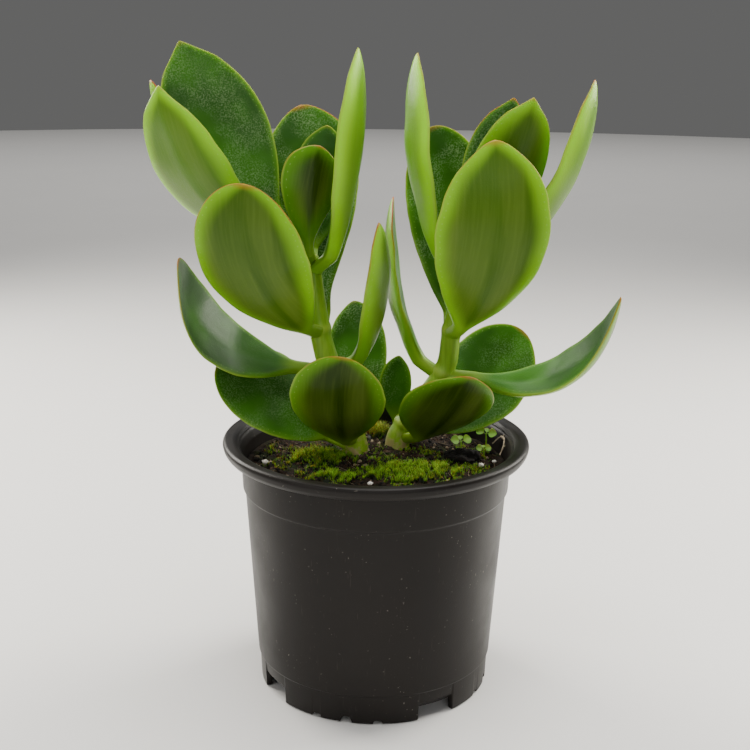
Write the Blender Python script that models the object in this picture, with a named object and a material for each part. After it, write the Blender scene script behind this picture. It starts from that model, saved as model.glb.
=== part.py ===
"""Jade plant in a round nursery pot, with its soil, moss, seedlings and every leaf as its own object.

Lengths in this file are millimetres and angles are degrees. They become metres in make_object.
The pot stands on the plane z = 0, its axis is the z axis, and the plant's front faces -Y.
"""

import bmesh
import bpy
import numpy as np

MM = 0.001
GAP = 0.35  # clearance between two pieces that touch in the real plant

# Pot
RIM_RADIUS = 60.0
POT_HEIGHT = 100.0
LIP_HEIGHT = 5.0
WALL = 1.0
FOOT_HEIGHT = 12.0
FOOT_RADIUS = 45.8
WALL_RADIUS_LOW = 46.9  # just above the foot
WALL_RADIUS_HIGH = 51.4  # just under the collar
COLLAR_BOTTOM = 80.0
COLLAR_RADIUS = 53.0
FLOOR_UNDERSIDE = 5.0
FLOOR_THICKNESS = 1.2
POT_SEGMENTS = 60

# Cut-outs in the foot, repeated in each quarter from this azimuth
NOTCH_AZIMUTH = -58.0
NOTCH_WIDTH = 16.0
NOTCH_HEIGHT = 6.8
DRAIN_RADIUS = 2.2
SLIT_WIDTH = 3.6
SLIT_HEIGHT = 1.2
SLIT_OFFSET = 15.3

# Soil
SOIL_EDGE = 89.0
SOIL_CROWN = 2.6
SOIL_SEGMENTS = 48
STEM_DEPTH = 16.0  # how far the two stems go down into the soil

# Stems: centre line and radius at each place, bottom to top
STEMS = {
    "left_stem": [
        ((-8.0, 8.0, 91.0), 5.0),
        ((-11.0, 8.0, 102.0), 4.8),
        ((-18.5, 9.0, 125.0), 4.3),
        ((-22.5, 9.0, 141.0), 4.0),
        ((-25.5, 10.0, 165.5), 3.3),
        ((-26.0, 10.0, 170.0), 2.6),
    ],
    "right_stem": [
        ((8.5, 14.0, 91.0), 4.7),
        ((12.0, 14.0, 100.5), 4.5),
        ((26.5, 14.0, 122.5), 3.9),
        ((29.5, 13.0, 140.0), 3.7),
        ((34.5, 13.0, 165.5), 3.2),
        ((35.5, 13.0, 172.5), 2.6),
    ],
    "side_shoot": [
        ((-29.9, 10.8, 146.0), 2.6),
        ((-32.0, 12.0, 160.0), 2.5),
        ((-34.5, 12.0, 172.0), 2.4),
    ],
}

# Blade kinds. belly is where a blade is widest and point how pointed it is, both as fractions of its
# length. cup is how deep its trough is, thick its greatest thickness, stalk the width of its base.
BLADES = {
    "round": dict(belly=0.60, point=0.52, cup=1.0, thick=4.6, stalk=7.0),
    "oval": dict(belly=0.60, point=0.62, cup=2.0, thick=4.6, stalk=7.0),
    "pointed": dict(belly=0.58, point=0.78, cup=2.0, thick=4.2, stalk=6.0),
    "fleshy": dict(belly=0.60, point=0.68, cup=2.5, thick=6.0, stalk=7.0),
    "young": dict(belly=0.60, point=0.65, cup=1.5, thick=3.2, stalk=4.5),
    "paddle": dict(belly=0.72, point=0.60, cup=1.5, thick=3.2, stalk=4.5),
    "broad": dict(belly=0.72, point=0.60, cup=2.0, thick=4.6, stalk=6.0),
}

# Leaves grow in opposite pairs, each pair across the one below. at is a pair's place on its stem,
# counted along STEMS from 0, and axis the side of the stem that its first leaf grows from, as a
# heading from +X towards +Y; its second leaf grows from the other side. A leaf reaches from there to
# its tip, and the middle of its midrib hangs sag below that line and lean to its right. faces is
# the heading that its upper side looks to.
PAIRS = [
    dict(stem="left_stem", at=0.6, axis=-100, leaves=[
        dict(name="left_basal_front_leaf", blade="round", tip=(-12.5, -27, 139), sag=5, lean=2.5,
             width=36, faces=85),
        dict(name="left_basal_back_leaf", blade="oval", tip=(-10, 42, 145), sag=2, lean=1.5,
             width=26, faces=-120),
    ]),
    dict(stem="left_stem", at=0.4, axis=180, leaves=[
        dict(name="left_basal_side_leaf", blade="round", tip=(-63, 4, 126), sag=-2, lean=2, width=38,
             faces=-60),
    ]),
    dict(stem="left_stem", at=2.0, axis=190, leaves=[
        dict(name="left_low_outer_leaf", blade="oval", tip=(-73.5, -14, 172), sag=18, width=35,
             faces=-30),
        dict(name="left_low_inner_leaf", blade="fleshy", tip=(0, -12, 186), sag=6, width=26, faces=180),
    ]),
    dict(stem="left_stem", at=3.0, axis=-100, leaves=[
        dict(name="left_mid_front_leaf", blade="round", tip=(-47, -30, 202), sag=8, lean=7, width=43,
             faces=80),
        dict(name="left_mid_back_leaf", blade="broad", tip=(-31, 33, 225), sag=1, lean=3, width=35,
             faces=-90),
    ]),
    dict(stem="left_stem", at=4.0, axis=-45, leaves=[
        dict(name="left_upper_inner_leaf", blade="fleshy", tip=(-8, -6, 248), sag=4.5, width=29,
             faces=168),
    ]),
    dict(stem="left_stem", at=4.6, axis=-90, leaves=[
        dict(name="left_top_front_leaf", blade="paddle", tip=(-22, 5, 212), sag=2, lean=3, width=23,
             faces=100),
        dict(name="left_top_back_leaf", blade="young", tip=(-20, 24, 218), sag=2, width=23, faces=-90),
    ]),
    dict(stem="side_shoot", at=2.0, axis=-125, leaves=[
        dict(name="side_shoot_front_leaf", blade="pointed", tip=(-80, -5, 234), sag=8, lean=6.5,
             width=42, faces=62),
    ]),
    dict(stem="side_shoot", at=2.0, axis=125, leaves=[
        dict(name="side_shoot_back_leaf", blade="pointed", tip=(-77, 28, 249), sag=3, lean=-2,
             width=39, faces=-105),
    ]),
    dict(stem="side_shoot", at=2.35, axis=180, leaves=[
        dict(name="side_shoot_young_leaf", blade="young", tip=(-86, 13, 235), sag=9, width=21,
             faces=55),
    ]),
    dict(stem="right_stem", at=0.6, axis=-50, leaves=[
        dict(name="right_basal_front_leaf", blade="oval", tip=(35, -16, 129), sag=3, width=38,
             faces=100),
    ]),
    dict(stem="right_stem", at=0.5, axis=35, leaves=[
        dict(name="right_basal_back_leaf", blade="round", tip=(60, 34, 135), sag=7, width=41,
             faces=-110),
    ]),
    dict(stem="right_stem", at=0.7, axis=105, leaves=[
        dict(name="right_basal_small_leaf", blade="young", tip=(9, 18, 128), sag=1, lean=-1.5,
             width=13, faces=-90),
    ]),
    dict(stem="right_stem", at=2.0, axis=-30, leaves=[
        dict(name="right_low_outer_leaf", blade="fleshy", tip=(89, -20, 161), sag=19, lean=1,
             width=28, faces=185),
        dict(name="right_low_inner_leaf", blade="fleshy", tip=(6, 30, 190), sag=6.5, width=24, faces=5),
    ]),
    dict(stem="right_stem", at=3.0, axis=-85, leaves=[
        dict(name="right_mid_front_leaf", blade="oval", tip=(41, -18, 217), sag=12, lean=-4,
             width=43, faces=95),
        dict(name="right_mid_back_leaf", blade="round", tip=(20, 34, 217), sag=3, lean=6, width=36,
             faces=-80),
    ]),
    dict(stem="right_stem", at=4.0, axis=0, leaves=[
        dict(name="right_upper_outer_leaf", blade="fleshy", tip=(80, 10, 237), sag=11, width=28,
             faces=148),
        dict(name="right_upper_inner_leaf", blade="fleshy", tip=(14, 10, 246), sag=7, width=28,
             faces=14),
    ]),
    dict(stem="right_stem", at=4.6, axis=-50, leaves=[
        dict(name="right_top_front_leaf", blade="pointed", tip=(56, -4, 231), sag=1, width=30,
             faces=100),
    ]),
    dict(stem="right_stem", at=4.6, axis=60, leaves=[
        dict(name="right_top_back_leaf", blade="pointed", tip=(52, 27, 229), sag=3, width=27,
             faces=-90),
    ]),
]
SEAT_GAP = 1.1  # between a stem and the thickness of a leaf's base
LEAF_STATIONS = 10
LEAF_SIDES = 10

# Moss cushions: centre, half-widths, turn, height
MOSS = {
    "moss_front_right": ((14.0, -19.0), (20.0, 8.5), 14.0, 2.6),
    "moss_front_left": ((-21.0, -4.0), (13.0, 8.0), -6.0, 2.6),
    "moss_front_centre": ((-15.0, -24.0), (7.5, 5.0), -10.0, 2.2),
    "moss_between_stems": ((1.0, 27.0), (6.0, 7.0), 0.0, 3.4),
}

MOSS_LIFT = 1.1  # clears the soil's crown under a flat cushion

# Perlite grains: x, y and size
PERLITE = [
    (41.0, -9.0, 1.3),
    (46.5, -2.5, 1.0),
    (-43.0, -8.0, 1.4),
    (-36.0, 24.0, 1.3),
    (12.0, 46.0, 1.5),
    (-2.0, -33.0, 1.1),
]

# Seedlings: x, y, height, heading of the seed leaves, length of a seed leaf
SEEDLINGS = {
    "seedling_1": (34.0, 8.0, 5.0, 20.0, 4.5),
    "seedling_2": (44.5, 15.0, 7.0, -25.0, 4.5),
    "seedling_3": (43.0, 6.5, 3.2, 10.0, 3.2),
}


def material(name, color, roughness, metallic=0.0):
    made = bpy.data.materials.new(name)
    made.use_nodes = True
    shader = made.node_tree.nodes["Principled BSDF"]
    shader.inputs["Base Color"].default_value = (*color, 1.0)
    shader.inputs["Roughness"].default_value = roughness
    shader.inputs["Metallic"].default_value = metallic
    made.diffuse_color = (*color, 1.0)
    return made


def make_object(name, points, faces, finish):
    """One closed object from points in millimetres."""
    mesh = bpy.data.meshes.new(name)
    mesh.from_pydata([tuple(p) for p in np.asarray(points) * MM], [], faces)
    work = bmesh.new()
    work.from_mesh(mesh)
    bmesh.ops.recalc_face_normals(work, faces=work.faces)
    work.to_mesh(mesh)
    work.free()
    mesh.shade_smooth()
    mesh.set_sharp_from_angle(angle=np.radians(40))
    mesh.materials.append(finish)
    made = bpy.data.objects.new(name, mesh)
    bpy.context.collection.objects.link(made)
    return made


def loft(rings):
    """Faces that join closed rings of points, with the first and last rings capped."""
    count = len(rings[0])
    points = np.concatenate(rings)
    faces = []
    for row in range(len(rings) - 1):
        low = row * count
        for k in range(count):
            after = (k + 1) % count
            faces.append((low + k, low + after, low + count + after, low + count + k))
    faces.append(tuple(range(count))[::-1])
    faces.append(tuple(range(len(points) - count, len(points))))
    return points, faces


def close_with_point(rings, point):
    """As loft, but the last ring runs to one point."""
    points, faces = loft(rings)
    count = len(rings[0])
    first = len(points) - count
    faces.pop()
    points = np.vstack([points, point])
    for k in range(count):
        faces.append((first + k, first + (k + 1) % count, len(points) - 1))
    return points, faces


def turned(profile, segments):
    """A profile of (radius, height) pairs from axis to axis, turned about z."""
    angles = np.linspace(0.0, 2.0 * np.pi, segments, endpoint=False)
    circle = np.stack([np.cos(angles), np.sin(angles)], axis=1)
    inner = profile[1:-1]
    rings = [np.column_stack([circle * r, np.full(segments, z)]) for r, z in inner]
    points, faces = loft(rings)
    faces = faces[:-2]
    last = len(points) - segments
    points = np.vstack([points, [0.0, 0.0, profile[0][1]], [0.0, 0.0, profile[-1][1]]])
    for k in range(segments):
        after = (k + 1) % segments
        faces.append((after, k, len(points) - 2))
        faces.append((last + k, last + after, len(points) - 1))
    return points, faces


def wall_radius(z):
    """Outer radius of the pot's wall at height z."""
    along = (z - FOOT_HEIGHT) / (COLLAR_BOTTOM - FOOT_HEIGHT)
    return WALL_RADIUS_LOW + (WALL_RADIUS_HIGH - WALL_RADIUS_LOW) * along


def cut(target, name, points, faces):
    """Cuts a closed shape out of target."""
    cutter = make_object(name, points, faces, target.data.materials[0])
    cutter.hide_render = True
    cutter.display_type = "WIRE"
    boolean = target.modifiers.new(name, "BOOLEAN")
    boolean.operation = "DIFFERENCE"
    boolean.solver = "EXACT"
    boolean.object = cutter


def radial_cutter(azimuth, outline):
    """An outline of (sideways, height) pairs pushed along a radius through the foot's wall."""
    angle = np.radians(azimuth - 90.0)
    outward = np.array([np.cos(angle), np.sin(angle), 0.0])
    sideways = np.array([-np.sin(angle), np.cos(angle), 0.0])
    flat = np.array([sideways * s + np.array([0.0, 0.0, z]) for s, z in outline])
    return loft([flat + outward * (FOOT_RADIUS - 4.6), flat + outward * (FOOT_RADIUS + 3.0)])


def rectangle(width, height):
    half = width / 2.0
    return [(-half, -1.0), (half, -1.0), (half, height), (-half, height)]


def half_round(radius):
    angles = np.linspace(0.0, np.pi, 9)
    arc = [(radius * np.cos(a), 0.4 + radius * np.sin(a)) for a in angles]
    return [(-radius, -1.0), (radius, -1.0)] + arc


def make_pot(finish):
    top = POT_HEIGHT
    lip = top - LIP_HEIGHT
    floor_top = FLOOR_UNDERSIDE + FLOOR_THICKNESS
    profile = [
        (0.0, FLOOR_UNDERSIDE),
        (FOOT_RADIUS - 2.3, FLOOR_UNDERSIDE),
        (FOOT_RADIUS - 2.2, 0.0),
        (FOOT_RADIUS, 0.0),
        (WALL_RADIUS_LOW - 0.6, FOOT_HEIGHT - 0.4),
        (WALL_RADIUS_LOW, FOOT_HEIGHT),
        (WALL_RADIUS_HIGH, COLLAR_BOTTOM),
        (COLLAR_RADIUS - 0.7, COLLAR_BOTTOM + 0.8),
        (COLLAR_RADIUS, lip - 1.0),
        (COLLAR_RADIUS + 0.6, lip + 3.2),
        (RIM_RADIUS - 2.0, lip + 3.4),
        (RIM_RADIUS - 2.9, lip),
        (RIM_RADIUS - 1.6, lip),
        (RIM_RADIUS - 0.5, lip + 1.6),
        (RIM_RADIUS, lip + 3.4),
        (RIM_RADIUS - 0.3, top - 0.6),
        (RIM_RADIUS - 1.2, top),
        (RIM_RADIUS - 4.0, top - 0.1),
        (RIM_RADIUS - 5.4, top - 0.8),
        (RIM_RADIUS - 7.0, top - 3.4),
        (COLLAR_RADIUS - WALL, lip - 1.5),
        (COLLAR_RADIUS - 0.7 - WALL, COLLAR_BOTTOM + 1.2),
        (WALL_RADIUS_HIGH - WALL, COLLAR_BOTTOM - 0.2),
        (WALL_RADIUS_LOW - WALL, FOOT_HEIGHT + 0.6),
        (FOOT_RADIUS - WALL, floor_top + 1.0),
        (FOOT_RADIUS - WALL - 1.0, floor_top),
        (0.0, floor_top),
    ]
    pot = make_object("pot", *turned(profile, POT_SEGMENTS), finish)
    for quarter in range(4):
        azimuth = NOTCH_AZIMUTH + 90.0 * quarter
        middle = azimuth + 45.0
        notch = radial_cutter(azimuth, rectangle(NOTCH_WIDTH, NOTCH_HEIGHT))
        cut(pot, f"notch_cutter_{quarter}", *notch)
        drain = radial_cutter(middle, half_round(DRAIN_RADIUS))
        cut(pot, f"drain_cutter_{quarter}", *drain)
        for side in (-1, 1):
            slit = radial_cutter(middle + side * SLIT_OFFSET, rectangle(SLIT_WIDTH, SLIT_HEIGHT))
            cut(pot, f"slit_cutter_{quarter}_{side + 1}", *slit)
    return pot


def soil_height(x, y):
    """Height of the soil's surface: a low crown with gentle lumps."""
    radius = np.hypot(x, y)
    crown = SOIL_CROWN * np.clip(1.0 - (radius / 52.0) ** 2, 0.0, 1.0)
    lumps = 0.35 * np.sin(0.21 * x + 1.3) * np.cos(0.19 * y - 0.4)
    return SOIL_EDGE + crown + lumps * np.clip((50.0 - radius) / 10.0, 0.0, 1.0)


def make_soil(finish):
    floor_top = FLOOR_UNDERSIDE + FLOOR_THICKNESS
    sides = [
        (FOOT_RADIUS - WALL - 2.0, floor_top + GAP),
        (FOOT_RADIUS - WALL - 0.8, floor_top + 2.0),
        (wall_radius(FOOT_HEIGHT + 2.0) - WALL - 0.6, FOOT_HEIGHT + 2.0),
        (wall_radius(COLLAR_BOTTOM - 1.0) - WALL - 0.4, COLLAR_BOTTOM - 1.0),
        (COLLAR_RADIUS - 0.8 - WALL - 0.5, COLLAR_BOTTOM + 1.8),
        (COLLAR_RADIUS - 0.4 - WALL - 0.5, SOIL_EDGE),
    ]
    top = [(r, 0.0) for r in (46.0, 38.0, 30.0, 22.0, 14.0, 7.0)]
    profile = [(0.0, sides[0][1])] + sides + top + [(0.0, 0.0)]
    points, faces = turned(profile, SOIL_SEGMENTS)
    surface = slice(SOIL_SEGMENTS * len(sides), None)
    heights = soil_height(points[surface, 0], points[surface, 1])
    bottom_centre = len(points) - 2
    points[surface, 2] = heights
    points[bottom_centre] = (0.0, 0.0, sides[0][1])
    soil = make_object("soil", points, faces, finish)
    for name in ("left_stem", "right_stem"):
        place, radius = STEMS[name][0]
        ring = circle_ring(place, radius + GAP + 0.1, 16)
        low = ring - np.array([0.0, 0.0, STEM_DEPTH + GAP])
        high = ring + np.array([0.0, 0.0, 8.0])
        cut(soil, f"{name}_socket_cutter", *loft([low, high]))
    return soil


def circle_ring(place, radius, sides):
    angles = np.linspace(0.0, 2.0 * np.pi, sides, endpoint=False)
    ring = np.stack([np.cos(angles), np.sin(angles), 0.0 * angles], axis=1)
    return np.array(place) + radius * ring


def smooth_path(places, steps):
    """Catmull-Rom curve through the places, with their radii."""
    centres = np.array([p for p, _ in places])
    radii = np.array([r for _, r in places])
    data = np.column_stack([centres, radii])
    data = np.vstack([2 * data[0] - data[1], data, 2 * data[-1] - data[-2]])
    out = []
    for k in range(1, len(data) - 2):
        for t in np.linspace(0.0, 1.0, steps, endpoint=False):
            a, b, c, d = data[k - 1 : k + 3]
            square = (2 * a - 5 * b + 4 * c - d) * t**2
            cube = (3 * b - a - 3 * c + d) * t**3
            out.append(0.5 * (2 * b + (c - a) * t + square + cube))
    out.append(data[-2])
    out = np.array(out)
    return out[:, :3], out[:, 3]


def tube(centres, radii, sides):
    """A tube along centres, its rings square to the path, with a domed top."""
    along = np.gradient(centres, axis=0)
    along /= np.linalg.norm(along, axis=1)[:, None]
    across = np.cross([0.0, 1.0, 0.0], along)
    across /= np.linalg.norm(across, axis=1)[:, None]
    other = np.cross(along, across)
    angles = np.linspace(0.0, 2.0 * np.pi, sides, endpoint=False)
    rings = []
    for c, r, u, v in zip(centres, radii, across, other):
        rings.append(c + r * (np.cos(angles)[:, None] * u + np.sin(angles)[:, None] * v))
    dome = centres[-1] + along[-1] * radii[-1] * 0.6
    rings.append(centres[-1] + along[-1] * radii[-1] * 0.4 + (rings[-1] - centres[-1]) * 0.7)
    return close_with_point(rings, dome)


def make_stem(name, finish):
    centres, radii = smooth_path(STEMS[name], 3)
    if name != "side_shoot":
        below = centres[0] - np.array([0.0, 0.0, STEM_DEPTH])
        centres = np.vstack([below, centres])
        radii = np.concatenate([[radii[0] * 0.85], radii])
    return make_object(name, *tube(centres, radii, 12), finish)


def all_leaves():
    """Every leaf by name, with its blade's proportions and its pair's place."""
    found = {}
    for pair in PAIRS:
        for number, own in enumerate(pair["leaves"]):
            leaf = dict(lean=0, **BLADES[own["blade"]])
            leaf.update(own)
            leaf["stem"] = pair["stem"]
            leaf["at"] = pair["at"]
            leaf["axis"] = pair["axis"] + 180 * number
            found[own["name"]] = leaf
    return found


def leaf_seat(leaf):
    """Where a leaf's base is: on its stem's surface, just clear of it."""
    places = STEMS[leaf["stem"]]
    low = min(int(leaf["at"]), len(places) - 2)
    part = leaf["at"] - low
    centre = np.array(places[low][0]) * (1 - part) + np.array(places[low + 1][0]) * part
    radius = places[low][1] * (1 - part) + places[low + 1][1] * part
    reach = np.array(leaf["tip"]) - centre
    steepness = abs(reach[2]) / np.linalg.norm(reach)
    axis = np.radians(leaf["axis"])
    away = radius + SEAT_GAP + 0.45 * leaf["thick"] * steepness
    return centre + away * np.array([np.cos(axis), np.sin(axis), 0.0])


def unit(vectors):
    """Vectors of length 1."""
    return vectors / np.linalg.norm(vectors, axis=-1, keepdims=True)


def leaf_midrib(leaf, along):
    """Centres, sideways directions and upper normals along a leaf: seat to tip, hung as a parabola."""
    seat = leaf_seat(leaf)
    reach = np.array(leaf["tip"]) - seat
    faces = np.radians(leaf["faces"])
    look = np.array([np.cos(faces), np.sin(faces), 1.0])
    upper = unit(look - look.dot(unit(reach)) * unit(reach))
    right = np.cross(unit(reach), upper)
    hang = leaf["lean"] * right - leaf["sag"] * upper
    part = along[:, None]
    centres = seat + reach * part + 4.0 * part * (1.0 - part) * hang
    forward = unit(reach + 4.0 * (1.0 - 2.0 * part) * hang)
    normal = unit(upper - np.sum(upper * forward, axis=1, keepdims=True) * forward)
    return centres, np.cross(forward, normal), normal


def leaf_half_width(leaf, along):
    """Half-width: a blade widest at belly, and a stalk that tapers into it."""
    start = 0.05
    belly = leaf["belly"]
    grown = np.clip((along - start) / (belly - start), 0.0, None)
    rest = np.clip(1.0 - along, 0.0, None) / (1.0 - belly)
    swell = leaf["point"] * (belly - start) / (1.0 - belly)
    blade = leaf["width"] / 2.0 * grown**swell * rest ** leaf["point"]
    stalk = leaf["stalk"] / 2.0 * np.clip(1.0 - along / 0.9, 0.0, None)
    return np.cbrt(blade**3 + stalk**3)


def leaf_sections(leaf):
    """A leaf's flat sections from base to tip, and the tip point."""
    part = np.linspace(0.0, 1.0, LEAF_STATIONS)
    along = 0.5 * (part + (1.0 - np.cos(np.pi * part)) / 2.0)
    centres, side, normal = leaf_midrib(leaf, along)
    half = leaf_half_width(leaf, along)
    thick = np.minimum(leaf["thick"] / 2.0 * np.clip(1.0 - along, 0.0, None) ** 0.45, half * 0.9)
    cup = leaf["cup"] * (half / (leaf["width"] / 2.0)) ** 1.5
    angles = np.linspace(0.0, 2.0 * np.pi, LEAF_SIDES, endpoint=False)
    across = np.cos(angles)
    bulge = np.sign(np.sin(angles)) * np.abs(np.sin(angles)) ** 1.15
    bulge = np.where(bulge > 0.0, bulge * 0.8, bulge * 1.2)
    rings = []
    for k in range(LEAF_STATIONS - 1):
        out = half[k] * across
        up = thick[k] * bulge + cup[k] * across**2
        rings.append(centres[k] + out[:, None] * side[k] + up[:, None] * normal[k])
    return rings, centres[-1]


def make_leaf(name, leaf, finish):
    """A thick lens-shaped blade: its sections joined."""
    rings, tip = leaf_sections(leaf)
    return make_object(name, *close_with_point(rings, tip), finish)


def make_moss(name, centre, size, turn, height, finish):
    """A low cushion with a wavy outline, lying on the soil."""
    angles = np.linspace(0.0, 2.0 * np.pi, 20, endpoint=False)
    wave = 1.0 + 0.10 * np.sin(3.0 * angles + centre[0]) + 0.06 * np.sin(5.0 * angles + centre[1])
    spin = np.radians(turn)
    rings = []
    for spread, lift in ((0.85, 0.0), (1.0, 0.35), (0.85, 0.75), (0.5, 1.0)):
        u = size[0] * spread * wave * np.cos(angles)
        v = size[1] * spread * wave * np.sin(angles)
        x = centre[0] + u * np.cos(spin) - v * np.sin(spin)
        y = centre[1] + u * np.sin(spin) + v * np.cos(spin)
        rings.append(np.column_stack([x, y, soil_height(x, y) + MOSS_LIFT + height * lift]))
    return make_object(name, *loft(rings), finish)


def make_perlite(name, x, y, size, finish):
    """A lumpy grain sitting on the soil."""
    work = bmesh.new()
    bmesh.ops.create_icosphere(work, subdivisions=2, radius=size)
    points = np.array([v.co[:] for v in work.verts])
    faces = [tuple(v.index for v in f.verts) for f in work.faces]
    work.free()
    lump = 1.0 + 0.14 * np.sin(3.1 * points[:, 0] + x) * np.cos(2.7 * points[:, 1] + y)
    points = points * lump[:, None] * np.array([1.0, 0.85, 0.7])
    lift = soil_height(x, y) + size * 0.7 + 2.0 * GAP
    return make_object(name, points + np.array([x, y, lift]), faces, finish)


def make_seedling(name, x, y, height, heading, length, finish):
    """A thin stalk with two round seed leaves in one piece: a flat section carried leaf to leaf."""
    base = np.array([x, y, soil_height(x, y) + 2.0 * GAP])
    lean = np.array([0.3, 0.2, height])
    centres = base + np.outer(np.linspace(0.0, 1.0, 5), lean)
    stalk = make_object(name, *tube(centres, np.full(5, 0.45), 8), finish)
    turn = np.radians(heading)
    part = np.linspace(0.0, 1.0, 9)
    reach = (part * 2.0 - 1.0) * length
    half = 0.35 + 0.42 * length * np.abs(np.sin(2.0 * np.pi * part)) ** 0.7
    rise = height - 0.3 + 0.18 * np.abs(reach) - 0.02 * reach**2
    angles = np.linspace(0.0, 2.0 * np.pi, 10, endpoint=False)
    forward = np.array([np.cos(turn), np.sin(turn), 0.0])
    side = np.array([-np.sin(turn), np.cos(turn), 0.0])
    rings = []
    for out, wide, up in zip(reach, half, rise):
        centre = base + forward * out + np.array([0.3, 0.2, up])
        ring = np.outer(np.cos(angles), side) * wide
        rings.append(centre + ring + np.outer(np.sin(angles), [0.0, 0.0, 0.4]))
    pair = make_object(f"{name}_leaf_pair", *loft(rings), finish)
    pair.hide_render = True
    pair.display_type = "WIRE"
    union = stalk.modifiers.new("join_leaves", "BOOLEAN")
    union.operation = "UNION"
    union.solver = "EXACT"
    union.object = pair
    return stalk


def make_rootlet(finish):
    """A pale dry root arching over the soil by the rim."""
    places = [
        ((47.3, 15.5, 92.2), 0.4),
        ((49.9, 13.0, 95.8), 0.45),
        ((51.2, 9.0, 96.8), 0.5),
        ((50.8, 5.5, 94.8), 0.5),
        ((49.2, 3.0, 91.6), 0.45),
    ]
    centres, radii = smooth_path(places, 4)
    return make_object("dry_rootlet", *tube(centres, radii, 8), finish)


def main():
    for old in list(bpy.data.objects):
        bpy.data.objects.remove(old, do_unlink=True)
    plastic = material("pot_plastic", (0.022, 0.019, 0.018), 0.42)
    peat = material("peat", (0.045, 0.028, 0.018), 0.95)
    bark = material("young_stem", (0.30, 0.42, 0.12), 0.45)
    leaf_skin = material("leaf_skin", (0.10, 0.26, 0.035), 0.32)
    moss_green = material("moss_green", (0.17, 0.33, 0.03), 0.9)
    white_grain = material("white_grain", (0.75, 0.72, 0.66), 0.85)
    sprout = material("sprout_green", (0.20, 0.45, 0.06), 0.5)
    straw = material("straw", (0.55, 0.42, 0.27), 0.8)

    make_pot(plastic)
    make_soil(peat)
    for name in STEMS:
        make_stem(name, bark)
    for name, leaf in all_leaves().items():
        make_leaf(name, leaf, leaf_skin)
    for name, (centre, size, turn, height) in MOSS.items():
        make_moss(name, centre, size, turn, height, moss_green)
    for number, (x, y, size) in enumerate(PERLITE, 1):
        make_perlite(f"perlite_grain_{number}", x, y, size, white_grain)
    for name, (x, y, height, heading, length) in SEEDLINGS.items():
        make_seedling(name, x, y, height, heading, length, sprout)
    make_rootlet(straw)


main()
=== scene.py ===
from math import cos, radians, sin, sqrt

import bpy
import numpy as np
from mathutils import Matrix, Vector


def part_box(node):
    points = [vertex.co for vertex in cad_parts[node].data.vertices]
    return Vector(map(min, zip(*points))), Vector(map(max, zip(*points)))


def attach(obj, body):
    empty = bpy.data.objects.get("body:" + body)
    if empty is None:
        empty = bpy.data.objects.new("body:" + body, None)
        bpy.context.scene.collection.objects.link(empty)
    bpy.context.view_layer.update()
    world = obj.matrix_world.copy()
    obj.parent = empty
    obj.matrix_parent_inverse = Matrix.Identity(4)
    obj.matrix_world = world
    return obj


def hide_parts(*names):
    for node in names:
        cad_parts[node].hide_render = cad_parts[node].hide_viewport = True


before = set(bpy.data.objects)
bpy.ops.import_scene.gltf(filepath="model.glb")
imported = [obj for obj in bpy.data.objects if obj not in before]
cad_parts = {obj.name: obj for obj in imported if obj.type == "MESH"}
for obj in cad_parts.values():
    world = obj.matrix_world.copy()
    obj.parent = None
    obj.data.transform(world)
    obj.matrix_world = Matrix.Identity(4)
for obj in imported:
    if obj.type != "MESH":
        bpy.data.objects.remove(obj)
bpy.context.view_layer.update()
mm = 0.001  # lengths below are millimetres, angles degrees

# ---- mesh helpers


def putMesh(name, points, faces, finish, smooth=True, **fields):
    # faces lists integer arrays, (n, 3) or (n, 4); each field is one value or one vector a point
    mesh = bpy.data.meshes.new(name)
    mesh.vertices.add(len(points))
    mesh.vertices.foreach_set("co", (points * mm).astype(np.float32).ravel())
    corners = np.concatenate([f.ravel() for f in faces]).astype(np.int32)
    sizes = np.concatenate([np.full(len(f), f.shape[1]) for f in faces])
    mesh.loops.add(len(corners))
    mesh.loops.foreach_set("vertex_index", corners)
    mesh.polygons.add(len(sizes))
    starts = np.concatenate([[0], np.cumsum(sizes)[:-1]]).astype(np.int32)
    mesh.polygons.foreach_set("loop_start", starts)
    mesh.update(calc_edges=True)
    mesh.validate()
    for field, values in fields.items():
        vector = values.ndim == 2
        made = mesh.attributes.new(field, "FLOAT_VECTOR" if vector else "FLOAT", "POINT")
        made.data.foreach_set("vector" if vector else "value", values.astype(np.float32).ravel())
    if smooth:
        mesh.shade_smooth()
    mesh.materials.append(finish)
    piece = bpy.data.objects.new(name, mesh)
    bpy.context.scene.collection.objects.link(piece)
    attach(piece, "root")
    return piece


def tubeFaces(rows, columns):
    # Quads between rings, and a fan to a pole at each end; the poles are the last two points
    ring, place = np.meshgrid(np.arange(rows - 1), np.arange(columns), indexing="ij")
    after = (place + 1) % columns
    low, high = ring * columns, (ring + 1) * columns
    quads = stacked(low + place, low + after, high + after, high + place).reshape(-1, 4)
    k = np.arange(columns)
    nextK = (k + 1) % columns
    pole = rows * columns
    top = (rows - 1) * columns
    first = stacked(np.full(columns, pole), nextK, k)
    last = stacked(np.full(columns, pole + 1), top + k, top + nextK)
    return quads, np.vstack([first, last])


def closedTube(rings, start=None, end=None):
    # Rings of shape (rows, columns, 3) made one closed surface whose faces point outwards
    rows, columns = rings.shape[:2]
    start = rings[0].mean(axis=0) if start is None else start
    end = rings[-1].mean(axis=0) if end is None else end
    points = np.vstack([rings.reshape(-1, 3), [start, end]])
    quads, fans = tubeFaces(rows, columns)
    corners = np.vstack([quads[:, [0, 1, 2]], quads[:, [0, 2, 3]], fans])
    a, b, c = (points[corners[:, k]] for k in range(3))
    if np.einsum("ij,ij->i", a, np.cross(b, c)).sum() < 0:
        quads, fans = quads[:, ::-1], fans[:, ::-1]
    return points, [quads, fans]


def stacked(*columns):
    return np.stack(columns, axis=-1)


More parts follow.
